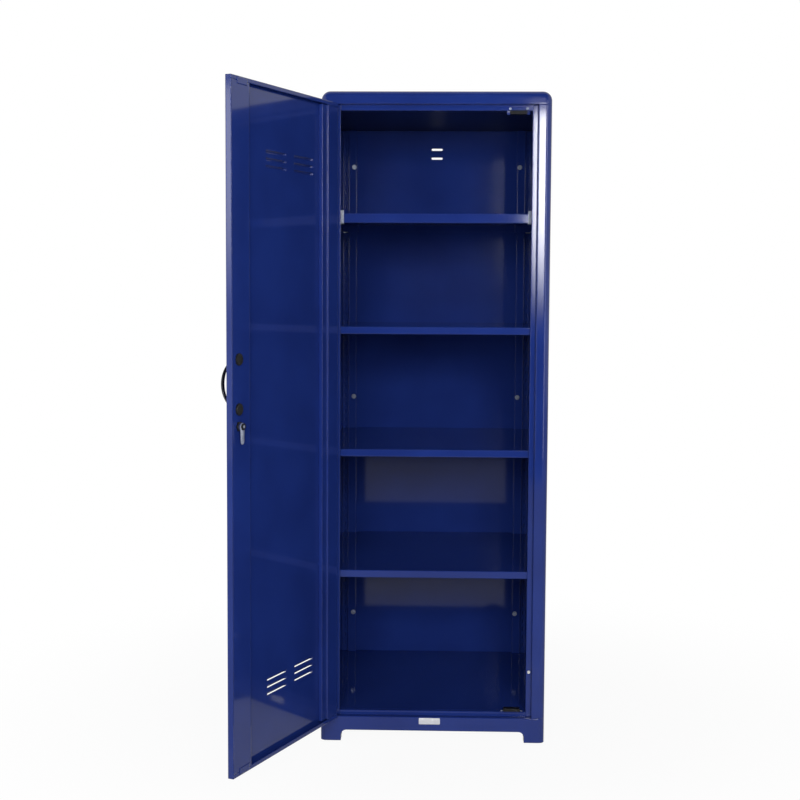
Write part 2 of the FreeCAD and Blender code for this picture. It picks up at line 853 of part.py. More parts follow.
catch_front = size.rebate_depth - size.catch_stand_out
top_catch_centre = opening_half - size.top_catch_inset
bottom_catch_centre = opening_half - size.bottom_catch_inset
screws = []
for catch, centre, low, plate_low in (
        ("catch_top", top_catch_centre, opening_top - size.magnet_height, opening_top),
        ("catch_bottom", bottom_catch_centre, floor_level, floor_level)):
    x_range = (centre - size.catch_width / 2, centre + size.catch_width / 2)
    if catch == "catch_top":
        plate = box(catch + "_plate", x_range, (size.rebate_depth - size.catch_sheet, size.rebate_depth),
                    (low, opening_top + size.magnet_height))
        screw_points = [(x_range[0] + size.catch_tab, size.rebate_depth - size.catch_sheet,
                         opening_top + size.magnet_height / 2),
                        (x_range[1] - size.catch_tab, size.rebate_depth - size.catch_sheet,
                         opening_top + size.magnet_height / 2)]
        direction = "-y"
    else:
        plate = box(catch + "_plate", x_range, (catch_front, catch_front + size.magnet_depth),
                    (low, low + size.catch_sheet))
        screw_points = [(x_range[0] + size.catch_tab / 2, catch_front + size.magnet_depth / 2,
                         low + size.catch_sheet),
                        (x_range[1] - size.catch_tab / 2, catch_front + size.magnet_depth / 2,
                         low + size.catch_sheet)]
        direction = "+z"
    housing = box(catch + "_housing", (x_range[0] + size.catch_tab, x_range[1] - size.catch_tab),
                  (catch_front, catch_front + size.magnet_depth), (low, low + size.magnet_height))
    subpart(catch, fuse(catch + "_shape", [plate, housing]))
    for number, point in enumerate(screw_points):
        screws.append(hexagon(f"{catch}_screw_{number}", size.catch_screw_flats,
                              size.catch_screw_head, point, direction))
subpart("catch_screws", group("catch_screws_shape", screws))

label_low = size.label_centre_height - size.label_height / 2
subpart("label_plate", profile(
    "label_plate_shape", "XZ",
    rectangle(size.label_offset - size.label_width / 2, size.label_offset + size.label_width / 2,
              label_low, label_low + size.label_height),
    -size.label_sheet, as_size(0), [(size.label_round, [0, 1, 2, 3])]))

bumper_x = (rebate_half + opening_half) / 2
bumper_z = floor_level + size.bumper_rise
subpart("stile_bumper", box(
    "stile_bumper_shape", (bumper_x - size.bumper_width / 2, bumper_x + size.bumper_width / 2),
    (door_inner + size.bumper_gap, size.rebate_depth),
    (bumper_z - size.bumper_height / 2, bumper_z + size.bumper_height / 2)))


# ---------------------------------------------------------------- door

# Drawn about the hinge axis with the door shut: X along the door, Y into the cabinet.
edge_near = -door_half - pivot_x
edge_far = door_half - pivot_x
skin_face = door_outer - pivot_y
lip_face = door_inner - pivot_y
furniture_x = edge_far - size.furniture_line

pan_block = profile(
    "pan_block", "XZ", rectangle(edge_near, edge_far, door_bottom, door_top),
    skin_face, lip_face)
round_front(pan_block, skin_face, size.door_edge_round, as_size(0))

pan_core = box("pan_core", (edge_near + size.door_sheet, edge_far - size.door_sheet),
               (skin_face + size.door_sheet, lip_face - size.door_sheet),
               (door_bottom + size.door_sheet, door_top - size.door_sheet))
pan_mouth = box("pan_mouth", (edge_near + size.door_sheet, edge_far - size.door_sheet),
                (lip_face - margin, lip_face + margin),
                (door_bottom + size.door_lip, door_top - size.door_lip))
lock_bore = cylinder("lock_bore", size.barrel_radius, size.door_thickness + margin * 2,
                     (furniture_x, skin_face - margin, size.lock_height), "+y")


def louvre_form(name, radius, start_x, level, inset, behind):
    """Half-round bar with sloping ends, from the louvre's mouth upwards."""
    end_x = start_x + size.louvre_length
    reach = size.louvre_projection
    slope = size.louvre_end_slope
    rod = cylinder(name + "_rod", radius, size.louvre_length,
                   (start_x, skin_face, level), "+x")
    ends = profile(name + "_ends", "XY", [
        (start_x + inset, skin_face - 0.01), (start_x + inset, skin_face + behind),
        (end_x - inset, skin_face + behind), (end_x - inset, skin_face - 0.01),
        (end_x - inset - slope, skin_face - reach),
        (start_x + inset + slope, skin_face - reach),
    ], level, level + reach)
    return common(name, rod, ends)


def louvre(name, start_x, level):
    """One pressed louvre: a half-round hood over a slot, open downwards."""
    hood = louvre_form(name + "_hood", size.louvre_projection, start_x, level,
                       as_size(0), size.door_sheet)
    hole = louvre_form(name + "_hole", size.louvre_projection - size.door_sheet, start_x,
                       level, size.door_sheet, margin)
    return hood, hole


hoods = []
holes = []
column_start = edge_near + size.louvre_centre - size.louvre_column_gap / 2 - size.louvre_length
for group_name, group_centre in (("low", door_middle - size.louvre_group_offset),
                                 ("high", door_middle + size.louvre_group_offset)):
    for column in range(2):
        start_x = column_start + (size.louvre_length + size.louvre_column_gap) * column
        for row in (-1, 0, 1):
            level = group_centre + size.louvre_pitch * row - size.louvre_projection / 2
            hood, hole = louvre(f"louvre_{group_name}_{column}_{row + 1}", start_x,
                                level)
            hoods.append(hood)
            holes.append(hole)
pan = cut("pan", pan_block, [pan_core, pan_mouth])
pan_with_hoods = fuse("pan_with_hoods", [pan] + hoods)
subpart("door_skin", cut("door_skin_shape", pan_with_hoods, holes + [lock_bore]), "door")

channel_z = (door_bottom + size.door_lip, door_top - size.door_lip)
channel_back = skin_face + size.door_sheet
hinge_step = edge_near + size.hinge_channel_step
hinge_channel_far = edge_near + size.hinge_channel_width
step_face = lip_face - size.hinge_channel_drop
subpart("hinge_channel", profile(
    "hinge_channel_shape", "XY",
    sheet_path([(edge_near + size.door_sheet, channel_back), (edge_near + size.door_sheet, lip_face),
                (hinge_step, lip_face), (hinge_step, step_face),
                (hinge_channel_far, step_face), (hinge_channel_far, channel_back)],
               -size.door_sheet),
    channel_z[0], channel_z[1]), "door")
lock_channel_near = edge_far - size.lock_channel_width
lock_channel_whole = profile(
    "lock_channel_whole", "XY",
    sheet_path([(lock_channel_near, channel_back), (lock_channel_near, lip_face),
                (edge_far - size.door_sheet, lip_face), (edge_far - size.door_sheet, channel_back)],
               -size.door_sheet),
    channel_z[0], channel_z[1])
channel_bore = cylinder("channel_bore", size.barrel_radius, size.door_thickness + margin * 2,
                        (furniture_x, skin_face - margin, size.lock_height), "+y")
subpart("lock_channel", cut("lock_channel_shape", lock_channel_whole, [channel_bore]),
        "door")


# ---------------------------------------------------------------- handle

half_span = size.handle_span / 2
bow_radius = (half_span * half_span + size.handle_projection * size.handle_projection) / (
    size.handle_projection * 2)
bow_centre = (furniture_x - size.handle_width / 2, skin_face - size.handle_projection + bow_radius,
              size.handle_height)
bow_outer = cylinder("bow_outer", bow_radius, size.handle_width, bow_centre, "+x")
bow_inner = cylinder("bow_inner", bow_radius - size.handle_bar, size.handle_width, bow_centre, "+x")
bow_zone = box("bow_zone", (furniture_x - size.handle_width, furniture_x + size.handle_width),
               (skin_face - size.handle_projection - margin, skin_face),
               (size.handle_height - half_span - margin, size.handle_height + half_span + margin))
subpart("bow_handle", common("bow_handle_shape",
                             cut("bow_ring", bow_outer, [bow_inner]), bow_zone), "door")
caps = []
for number, side in enumerate((-1, 1)):
    caps.append(cylinder(f"handle_cap_{number}", size.cap_radius, size.cap_thickness,
                         (furniture_x, lip_face, size.handle_height + half_span * side), "+y"))
subpart("handle_caps", group("handle_caps_shape", caps), "door")


# ---------------------------------------------------------------- lock

barrel_front = skin_face - size.rosette_thickness
barrel_back = lip_face + size.lock_nut_thickness + size.cam_gap - 0.5
cam_front = barrel_back + 0.5
lock_point = (furniture_x, barrel_front, size.lock_height)
rosette = cylinder("rosette", size.rosette_radius, size.rosette_thickness, lock_point, "+y")
barrel_tube = cylinder("barrel_tube", size.barrel_radius, barrel_back - barrel_front,
                       lock_point, "+y")
plug_bore = cylinder("plug_bore", size.plug_radius + size.plug_clearance,
                     size.door_thickness * 3, (furniture_x, barrel_front - margin, size.lock_height),
                     "+y")
subpart("lock_barrel", cut("lock_barrel_shape",
                           fuse("barrel_whole", [rosette, barrel_tube]), [plug_bore]),
        "door")
nut_point = (furniture_x, lip_face, size.lock_height)
nut_ring = hexagon("nut_ring", size.lock_nut_flats, size.lock_nut_thickness, nut_point, "+y")
nut_bore = cylinder("nut_bore", size.barrel_radius, size.lock_nut_thickness * 2, nut_point, "+y")
subpart("lock_nut", cut("lock_nut_shape", nut_ring, [nut_bore]), "door")
subpart("lock_plug", cylinder("lock_plug_shape", size.plug_radius, cam_front - barrel_front,
                              lock_point, "+y"), "door")
cam_half = size.cam_width / 2
subpart("lock_cam", profile(
    "lock_cam_shape", "XZ",
    rectangle(furniture_x - cam_half, furniture_x + cam_half, size.lock_height - size.cam_reach,
              size.lock_height + cam_half),
    cam_front, cam_front + size.cam_sheet, [(cam_half * 0.6, [0, 1, 2, 3])]), "door")
subpart("cam_screw", hexagon("cam_screw_shape", size.cam_screw_flats, size.cam_screw_thickness,
                             (furniture_x, cam_front + size.cam_sheet, size.lock_height), "+y"),
        "door")
strikes = []
for name, centre, low, high in (
        ("strike_top", top_catch_centre, door_top - size.door_lip - size.strike_reach,
         door_top - size.door_gap),
        ("strike_bottom", bottom_catch_centre, door_bottom + size.door_gap,
         door_bottom + size.door_lip + size.strike_reach)):
    middle = centre - pivot_x
    half = size.catch_width / 2 - size.catch_tab
    strikes.append(box(name, (middle - half, middle + half),
                       (lip_face, lip_face + size.strike_sheet), (low, high)))
subpart("strike_plates", group("strike_plates_shape", strikes), "door")


# ---------------------------------------------------------------- hinges

knuckle_height = (size.hinge_leaf_height - size.knuckle_gap * 2) / 3
body_leaf_far = -(half_width - size.front_round)
body_leaf_near = pivot_x - size.knuckle_radius - size.knuckle_face_gap
body_leaf_y = (-size.leaf_sheet, as_size(0))
door_leaf_y = (skin_face - size.leaf_sheet, skin_face)
body_screws = []
door_screws = []
for hinge_name, level in (("top", door_middle + size.hinge_spacing), ("middle", door_middle),
                          ("bottom", door_middle - size.hinge_spacing)):
    hinge = f"hinge_{hinge_name}"
    low = level - size.hinge_leaf_height / 2
    body_pieces = [box(f"{hinge}_body_plate", (body_leaf_far, body_leaf_near), body_leaf_y,
                       (low, low + size.hinge_leaf_height))]
    for number, start in enumerate((low, low + knuckle_height * 2 + size.knuckle_gap * 2)):
        body_pieces.append(cylinder(f"{hinge}_body_knuckle_{number}", size.knuckle_radius,
                                    knuckle_height, (pivot_x, pivot_y, start)))
        body_pieces.append(box(f"{hinge}_body_arm_{number}", (body_leaf_near, pivot_x), body_leaf_y,
                               (start, start + knuckle_height)))
    body_pin_hole = cylinder(f"{hinge}_body_pin_hole", size.pin_radius, size.hinge_leaf_height,
                             (pivot_x, pivot_y, low))
    subpart(f"{hinge}_body_leaf", cut(
        f"{hinge}_body_leaf_shape", fuse(f"{hinge}_body_whole", body_pieces), [body_pin_hole]))
    subpart(f"{hinge}_pin", cylinder(f"{hinge}_pin_shape", size.pin_radius, size.hinge_leaf_height,
                                     (pivot_x, pivot_y, low)))

    door_low = low + knuckle_height + size.knuckle_gap
    door_pieces = [
        cylinder(f"{hinge}_door_knuckle", size.knuckle_radius, knuckle_height, (0, 0, door_low)),
        box(f"{hinge}_door_strap", (0, edge_near + size.door_edge_round), door_leaf_y,
            (door_low, door_low + knuckle_height)),
        box(f"{hinge}_door_plate", (edge_near + size.door_edge_round, size.hinge_door_leaf),
            door_leaf_y, (low, low + size.hinge_leaf_height))]
    door_pin_hole = cylinder(f"{hinge}_door_pin_hole", size.pin_radius + size.pin_clearance,
                             size.hinge_leaf_height, (0, 0, low))
    subpart(f"{hinge}_door_leaf", cut(
        f"{hinge}_door_leaf_shape", fuse(f"{hinge}_door_whole", door_pieces),
        [door_pin_hole]), "door")
    for number in (-1, 1):
        screw_z = level + size.hinge_screw_spacing * number
        body_screws.append(hexagon(
            f"{hinge}_body_screw_{number + 1}", size.hinge_screw_flats, size.hinge_screw_head,
            ((body_leaf_far + body_leaf_near) / 2, -size.leaf_sheet - size.hinge_screw_head,
             screw_z), "+y"))
        door_screws.append(hexagon(
            f"{hinge}_door_screw_{number + 1}", size.hinge_screw_flats, size.hinge_screw_head,
            ((edge_near + size.hinge_door_leaf) / 2,
             skin_face - size.leaf_sheet - size.hinge_screw_head, screw_z), "+y"))
subpart("hinge_body_screws", group("hinge_body_screws_shape", body_screws))
subpart("hinge_door_screws", group("hinge_door_screws_shape", door_screws), "door")


# ---------------------------------------------------------------- check and export

doc.recompute()
doc.recompute()
for item in doc.Objects:
    if "Invalid" in item.State or "Error" in item.State:
        raise RuntimeError(f"{item.Name} failed: {item.State}")
os.makedirs("parts", exist_ok=True)
total = 0
for item in finished:
    shape = item.Shape
    if shape.isNull() or not shape.isValid() or not shape.Solids:
        raise RuntimeError(f"{item.Label} has no valid solid")
    shape.exportStep(os.path.join("parts", item.Label + ".step"))
    bounds = shape.BoundBox
    total += 1
    print(f"{item.Label:24s} solids {len(shape.Solids):3d}  volume {shape.Volume:12.1f}  "
          f"x {bounds.XMin:8.1f}..{bounds.XMax:8.1f}  y {bounds.YMin:8.1f}.."
          f"{bounds.YMax:8.1f}  z {bounds.ZMin:8.1f}..{bounds.ZMax:8.1f}")
print(total, "sub-parts")
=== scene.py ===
"""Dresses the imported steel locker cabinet: enamel, plated metal, mouldings, stage and lights."""
import json
import math

import bpy
import bmesh
from mathutils import Matrix, Vector


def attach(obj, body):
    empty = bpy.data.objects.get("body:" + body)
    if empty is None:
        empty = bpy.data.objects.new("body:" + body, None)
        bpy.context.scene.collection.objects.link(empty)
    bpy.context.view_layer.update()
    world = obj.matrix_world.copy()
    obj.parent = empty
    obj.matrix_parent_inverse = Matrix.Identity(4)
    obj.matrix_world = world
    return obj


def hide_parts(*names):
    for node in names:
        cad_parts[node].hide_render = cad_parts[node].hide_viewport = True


MM = 0.001
# Where every lamp points, in metres: the middle of the cabinet.
AIM = (0, 0, 0.9)
# Share of the white surroundings and of the floor's glow that gloss and glass show.
MIRRORED_WORLD = 0.75
MIRRORED_FLOOR = 0.25
FOLD_RADIUS_MM = 3.5
PLASTIC_GRAIN_MM = 0.6
# Levels in metres between which the strip lights fade.
FADE_BOTTOM = 1.0
FADE_TOP = 1.85
SENSOR_MM = 36
LENS_MM = 62.336
CAMERA_AT_MM = (15.19, -4142.6, 1252.7)
# Turn about the vertical, downward tilt and lean of the camera, in degrees.
CAMERA_TURNS = (-1.66, 4.385, 0.308)

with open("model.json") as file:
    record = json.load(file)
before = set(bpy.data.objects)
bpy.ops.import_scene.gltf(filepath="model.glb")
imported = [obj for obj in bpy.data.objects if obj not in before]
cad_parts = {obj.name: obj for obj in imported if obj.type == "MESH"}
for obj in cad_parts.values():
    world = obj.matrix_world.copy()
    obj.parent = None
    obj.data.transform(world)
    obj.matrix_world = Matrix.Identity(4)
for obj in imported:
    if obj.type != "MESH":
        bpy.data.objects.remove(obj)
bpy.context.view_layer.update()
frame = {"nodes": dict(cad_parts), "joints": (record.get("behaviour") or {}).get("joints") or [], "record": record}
record = frame["record"]
collection = bpy.context.scene.collection


# ---------------------------------------------------------------- shader helpers

def linear(code):
    """Opaque linear RGBA of an sRGB hex colour."""
    channels = []
    for start in (0, 2, 4):
        value = int(code[start:start + 2], 16) / 255
        channels.append(value / 12.92 if value <= 0.04045 else ((value + 0.055) / 1.055) ** 2.4)
    return (*channels, 1.0)


def per_metre(size_mm):
    """Texture scale at which one cell is about the given size."""
    return 1 / (size_mm * MM)


def add(tree, kind, inputs=None, **settings):
    """Add a node; inputs maps a socket to a value or to another node's output."""
    made = tree.nodes.new(kind)
    for key, value in settings.items():
        setattr(made, key, value)
    for key, value in (inputs or {}).items():
        socket = made.inputs[key]
        if isinstance(value, bpy.types.NodeSocket):
            tree.links.new(value, socket)
        else:
            socket.default_value = value
    return made


def new_material(name):
    """Empty node material with its output; returns the material, tree and output node."""
    material = bpy.data.materials.new(name)
    material.use_nodes = True
    tree = material.node_tree
    tree.nodes.clear()
    return material, tree, add(tree, "ShaderNodeOutputMaterial")


def finish_material(tree, output, surface):
    """Join a surface shader to the output."""
    tree.links.new(surface.outputs[0], output.inputs["Surface"])


def ramp(tree, factor, stops):
    """Colour ramp over a factor, from (position, colour) stops."""
    made = add(tree, "ShaderNodeValToRGB", {"Fac": factor})
    elements = made.color_ramp.elements
    while len(elements) < len(stops):
        elements.new(0.5)
    for element, (position, colour) in zip(elements, stops):
        element.position = position
        element.color = colour
    return made


# ---------------------------------------------------------------- materials

def powder_coat(name, colour, deep, roughness):
    """Glossy polyester powder coat baked on pressed steel sheet.

    The coat flows out into a faint orange peel, which wavers the reflections, and pools a
    little darker in broad patches. Every folded edge is rounded by the sheet's own bend, so
    it draws a thin bright line.
    """
    material, tree, output = new_material(name)
    place = add(tree, "ShaderNodeTexCoord").outputs["Object"]
    pooling = add(tree, "ShaderNodeTexNoise",
                  {"Vector": place, "Scale": per_metre(180), "Detail": 2.0})
    tint = ramp(tree, pooling.outputs["Fac"],
                [(0.35, linear(deep)), (0.65, linear(colour))])
    fold = add(tree, "ShaderNodeBevel", {"Radius": FOLD_RADIUS_MM * MM}, samples=8)
    peel = add(tree, "ShaderNodeTexNoise",
               {"Vector": place, "Scale": per_metre(7), "Detail": 1.0, "Roughness": 0.4})
    bump = add(tree, "ShaderNodeBump",
               {"Height": peel.outputs["Fac"], "Strength": 0.035, "Distance": 0.0003,
                "Normal": fold.outputs["Normal"]})
    surface = add(tree, "ShaderNodeBsdfPrincipled", {
        "Base Color": tint.outputs["Color"], "Roughness": roughness, "IOR": 1.5,
        "Normal": bump.outputs["Normal"]})
    finish_material(tree, output, surface)
    return material


def zinc_plate(name):
    """Blue-passivated zinc on pressed steel.

    The passivation film is cloudy and scatters part of the light, so small heads read as
    pale grey even where they mirror something dark.
    """
    material, tree, output = new_material(name)
    place = add(tree, "ShaderNodeTexCoord").outputs["Object"]
    cloud = add(tree, "ShaderNodeTexNoise",
                {"Vector": place, "Scale": per_metre(6), "Detail": 3.0})
    tint = ramp(tree, cloud.outputs["Fac"],
                [(0.3, linear("a9b2c8")), (0.7, linear("cdd5e6"))])
    gloss = add(tree, "ShaderNodeMapRange",
                {"Value": cloud.outputs["Fac"], "To Min": 0.22, "To Max": 0.38})
    surface = add(tree, "ShaderNodeBsdfPrincipled", {
        "Base Color": tint.outputs["Color"], "Metallic": 0.6,
        "Roughness": gloss.outputs["Result"]})
    finish_material(tree, output, surface)
    return material


def chrome_plate(name, colour, dullest):
    """Nickel-chrome plate on a polished part, with a trace of handling haze in the gloss."""
    material, tree, output = new_material(name)
    place = add(tree, "ShaderNodeTexCoord").outputs["Object"]
    haze = add(tree, "ShaderNodeTexNoise",
               {"Vector": place, "Scale": per_metre(14), "Detail": 4.0})
    gloss = add(tree, "ShaderNodeMapRange",
                {"Value": haze.outputs["Fac"], "To Min": 0.05, "To Max": dullest})
    surface = add(tree, "ShaderNodeBsdfPrincipled", {
        "Base Color": linear(colour), "Metallic": 1.0,
        "Roughness": gloss.outputs["Result"]})
    finish_material(tree, output, surface)
    return material


def moulded_plastic(name, colour, roughness):
    """Injection-moulded plastic with a fine spark-eroded grain from the tool."""
    material, tree, output = new_material(name)
    place = add(tree, "ShaderNodeTexCoord").outputs["Object"]
    grain = add(tree, "ShaderNodeTexNoise",
                {"Vector": place, "Scale": per_metre(PLASTIC_GRAIN_MM), "Detail": 2.0})
    bump = add(tree, "ShaderNodeBump",
               {"Height": grain.outputs["Fac"], "Strength": 0.15, "Distance": 0.0002})
    surface = add(tree, "ShaderNodeBsdfPrincipled", {
        "Base Color": linear(colour), "Roughness": roughness, "IOR": 1.49,
        "Normal": bump.outputs["Normal"]})
    finish_material(tree, output, surface)
    return material


def satin_aluminium(name):
    """Satin-anodised aluminium plate, bare, with its rolling grain along X."""
    material, tree, output = new_material(name)
    place = add(tree, "ShaderNodeTexCoord").outputs["Object"]
    stretch = add(tree, "ShaderNodeMapping", {"Vector": place, "Scale": (0.05, 1.0, 1.0)})
    grain = add(tree, "ShaderNodeTexNoise",
                {"Vector": stretch.outputs["Vector"], "Scale": per_metre(0.5), "Detail": 3.0})
    tint = ramp(tree, grain.outputs["Fac"],
                [(0.3, linear("dfe0e3")), (0.7, linear("f4f4f6"))])
    surface = add(tree, "ShaderNodeBsdfPrincipled", {
        "Base Color": tint.outputs["Color"], "Metallic": 0.35, "Roughness": 0.45})
    finish_material(tree, output, surface)
    return material


blue_enamel = powder_coat("blue_powder_coat", "20357f", "1d3076", 0.07)
# Darker, rougher blue for the roof's inside: its dark colour is painted shade under the head rail.
blue_painted_shade = powder_coat("blue_powder_coat_painted_shade", "16204a", "121a3c", 0.38)
zinc = zinc_plate("zinc_plated_steel")
chrome = chrome_plate("bright_chrome", "d9dbdf", 0.16)
# Black chrome over nickel: a smoky mirror, near black with clean highlights.
black_chrome = chrome_plate("black_chrome", "34363b", 0.2)
black_abs = moulded_plastic("black_moulded_abs", "08090a", 0.55)
black_foot = moulded_plastic("black_foot_polyethylene", "141416", 0.55)
label_metal = satin_aluminium("label_aluminium")
white_rubber = moulded_plastic("white_moulded_rubber", "e6e6e2", 0.7)

FINISHES = {
    "blue_enamel": blue_enamel,
    "zinc_steel": zinc,
    "chrome_plate": chrome,
    "black_plastic": black_abs,
    "label_aluminium": label_metal,
    "white_rubber": white_rubber,
}


def paint(node, material):
    """Give a CAD node its finish."""
    mesh = frame["nodes"][node].data
    mesh.materials.clear()
    mesh.materials.append(material)


for entry in record["subparts"]:
    paint(entry["node"], FINISHES[entry["material_slot"]])
# The roof's inside gets a rougher coat whose darker blue is painted shade, standing in for the shade under the
# head rail.
paint("ceiling_panel", blue_painted_shade)
for node in frame["nodes"]:
    if node.startswith("glide"):
        paint(node, black_foot)


# ---------------------------------------------------------------- forms

def turn(shape, outline, segments=32, place=Matrix()):
    """Turned form about Z from (radius, height) pairs in mm; six segments make a hexagon."""
    rings = []
    for radius, height in outline:
        if radius:
            angles = [2 * math.pi * step / segments for step in range(segments)]
            points = [(radius * math.cos(a), radius * math.sin(a), height) for a in angles]
        else:
            points = [(0, 0, height)]
        rings.append([shape.verts.new(place @ (Vector(point) * MM)) for point in points])
    for lower, upper in zip(rings, rings[1:]):
        for step in range(segments):
            following = (step + 1) % segments
            corners = [lower[step % len(lower)], lower[following % len(lower)],
                       upper[following % len(upper)], upper[step % len(upper)]]
            corners = list(dict.fromkeys(corners))
            if len(corners) > 2:
                shape.faces.new(corners)


def slab(shape, outline, low, high, edge, place=Matrix()):
    """Flat form cut to an outline in millimetres, with rounded rims."""
    foot = [shape.verts.new(place @ (Vector((x, y, low)) * MM)) for x, y in outline]
    head = [shape.verts.new(place @ (Vector((x, y, high)) * MM)) for x, y in outline]
    faces = [shape.faces.new(foot[::-1]), shape.faces.new(head)]
    for start in range(len(outline)):
        end = (start + 1) % len(outline)
        faces.append(shape.faces.new([foot[start], foot[end], head[end], head[start]]))
    rims = list({rim for face in faces[:2] for rim in face.edges})
    bmesh.ops.bevel(shape, geom=rims, offset=edge * MM, segments=3, profile=0.5,
                    affect="EDGES")


def rounded_rectangle(width, height, radius, steps=5):
    """Outline of a rectangle with round corners, about the origin."""
    points = []
    for corner, (side_x, side_y) in enumerate(((1, 1), (-1, 1), (-1, -1), (1, -1))):
        for step in range(steps + 1):
            angle = math.pi / 2 * (corner + step / steps)
            points.append((side_x * (width / 2 - radius) + radius * math.cos(angle),
                           side_y * (height / 2 - radius) + radius * math.sin(angle)))
    return points


def solids(node, place=Matrix()):
    """Boxes in millimetres of the separate solids in a CAD node, seen from a placement."""
    shape = bmesh.new()
    shape.from_mesh(frame["nodes"][node].data)
    bmesh.ops.remove_doubles(shape, verts=shape.verts, dist=1e-5)
    shape.transform(place.inverted())
    found = []
    waiting = set(shape.verts)
    while waiting:
        reached = [waiting.pop()]
        for vertex in reached:
            for rim in vertex.link_edges:
                other = rim.other_vert(vertex)
                if other in waiting:
                    waiting.remove(other)
                    reached.append(other)
        low = Vector(min(vertex.co[axis] for vertex in reached) for axis in range(3)) / MM
        high = Vector(max(vertex.co[axis] for vertex in reached) for axis in range(3)) / MM
        found.append((low, high))
    shape.free()
    return sorted(found, key=lambda ends: (round(ends[0].z), round(ends[0].x)))


def fit(name, shape, body, finish, *nodes, place=Matrix()):
    """Make a piece of a form, put it on its body, and let it stand for CAD nodes."""
    bmesh.ops.remove_doubles(shape, verts=shape.verts, dist=1e-6)
    bmesh.ops.recalc_face_normals(shape, faces=shape.faces)
    mesh = bpy.data.meshes.new(name)
    shape.to_mesh(mesh)
    shape.free()
    mesh.shade_smooth()
    mesh.set_sharp_from_angle(angle=math.radians(35))
    mesh.materials.append(FINISHES[finish])
    made = bpy.data.objects.new(name, mesh)
    collection.objects.link(made)
    made.matrix_world = place
    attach(made, body)
    if nodes:
        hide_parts(*nodes)
    return made


def at(point, outward="-y"):
    """Placement at a point in millimetres, with Z turned outward."""
    turns = {"-y": Matrix.Rotation(math.radians(90), 4, "X"),
             "+y": Matrix.Rotation(math.radians(-90), 4, "X"), "+z": Matrix()}
    return Matrix.Translation(Vector(point) * MM) @ turns[outward]


hinge = next(joint for joint in frame["joints"] if joint["name"] == "door_hinge")
# The door's own placement: X along the door, Y through its thickness to the inside.
DOOR = (Matrix.Translation(Vector((hinge["pos_m"][0], hinge["pos_m"][1], 0)))
        @ Matrix.Rotation(-math.radians(hinge["range_deg"][1]), 4, "Z"))


# ---------------------------------------------------------------- bolts and screws

# Half sections as (radius, height) pairs in millimetres.
HEXAGON_HEAD = [(0, 1.2), (5.7, 1.2), (5.7, 4.0), (4.8, 4.8), (0, 4.8)]
WASHER = [(0, 0), (7.4, 0), (7.4, 0.9), (7.0, 1.2), (0, 1.2)]
PAN_HEAD = [(0, 0), (3.5, 0), (3.4, 0.6), (2.8, 1.1), (1.9, 1.4), (1.3, 1.4), (1.0, 0.7),
            (0, 0.6)]


def seats(node, place=Matrix()):
    """Where each head in a CAD node seats, and the way it points."""
    found = []
    for low, high in solids(node, place):
        middle = (low + high) / 2
        if high.z - low.z < high.y - low.y:
            found.append(((middle.x, middle.y, low.z), "+z"))
        else:
            found.append(((middle.x, high.y, middle.z), "-y"))
    return found


bolts = bmesh.new()
for point, outward in seats("upright_bolts"):
    turn(bolts, WASHER, 32, at(point, outward))
    turn(bolts, HEXAGON_HEAD, 6, at(point, outward))
fit("upright_bolts_detailed", bolts, "cabinet", "zinc_steel", "upright_bolts")

for node, body, place in (("catch_screws", "cabinet", Matrix()),
                          ("hinge_body_screws", "cabinet", Matrix()),
                          ("hinge_door_screws", "door", DOOR)):
    heads = bmesh.new()
    for point, outward in seats(node, place):
        turn(heads, PAN_HEAD, 24, at(point, outward))
    fit(node + "_detailed", heads, body, "zinc_steel", node, place=place)


# ---------------------------------------------------------------- handle

def bow(shape, low, high, width, ends, bar):
    """Crescent bow within a box, thin at its ends and stoutest in the middle."""
    rise = high.y - low.y
    half = (high.z - low.z) / 2
    radius = (half * half + rise * rise) / (rise * 2)
    reach = math.asin(half / radius)
    middle = (low + high) / 2
    steps = 48
    rings = []
    for step in range(steps + 1):
        angle = -reach + 2 * reach * step / steps
        stout = ends + (bar - ends) * math.cos(math.pi / 2 * angle / reach) ** 2
        section = rounded_rectangle(width, stout, min(width, stout) * 0.45, 4)
        ring = []
        for across, out in section:
            out_radius = radius - stout / 2 + out
            ring.append(shape.verts.new(Vector((
                middle.x + across, low.y + radius - out_radius * math.cos(angle),
                middle.z + out_radius * math.sin(angle))) * MM))
        rings.append(ring)
    for lower, upper in zip(rings, rings[1:]):
        for index in range(len(section)):
            following = (index + 1) % len(section)
            shape.faces.new([lower[index], lower[following], upper[following], upper[index]])
    shape.faces.new(rings[0][::-1])
    shape.faces.new(rings[-1])


BOW_END = 3
BOW_MIDDLE = 6.5
strap = bmesh.new()
bow_low, bow_high = solids("bow_handle", DOOR)[0]
bow(strap, bow_low, bow_high, bow_high.x - bow_low.x, BOW_END, BOW_MIDDLE)
handle = fit("bow_handle_crescent", strap, "door", "chrome_plate", "bow_handle", place=DOOR)
handle.data.materials[0] = black_chrome

caps = bmesh.new()
for low, high in solids("handle_caps", DOOR):
    radius = (high.z - low.z) / 2
    depth = high.y - low.y
    turn(caps, [(0, 0), (radius, 0), (radius, depth * 0.5), (radius * 0.96, depth * 0.8),
                (radius * 0.87, depth * 0.96), (radius * 0.76, depth), (radius * 0.6, depth),
                (radius * 0.56, depth * 0.82), (0, depth * 0.78)], 48,
         at(((low.x + high.x) / 2, low.y, (low.z + high.z) / 2), "+y"))
fit("handle_caps_domed", caps, "door", "black_plastic", "handle_caps", place=DOOR)


# ---------------------------------------------------------------- lock

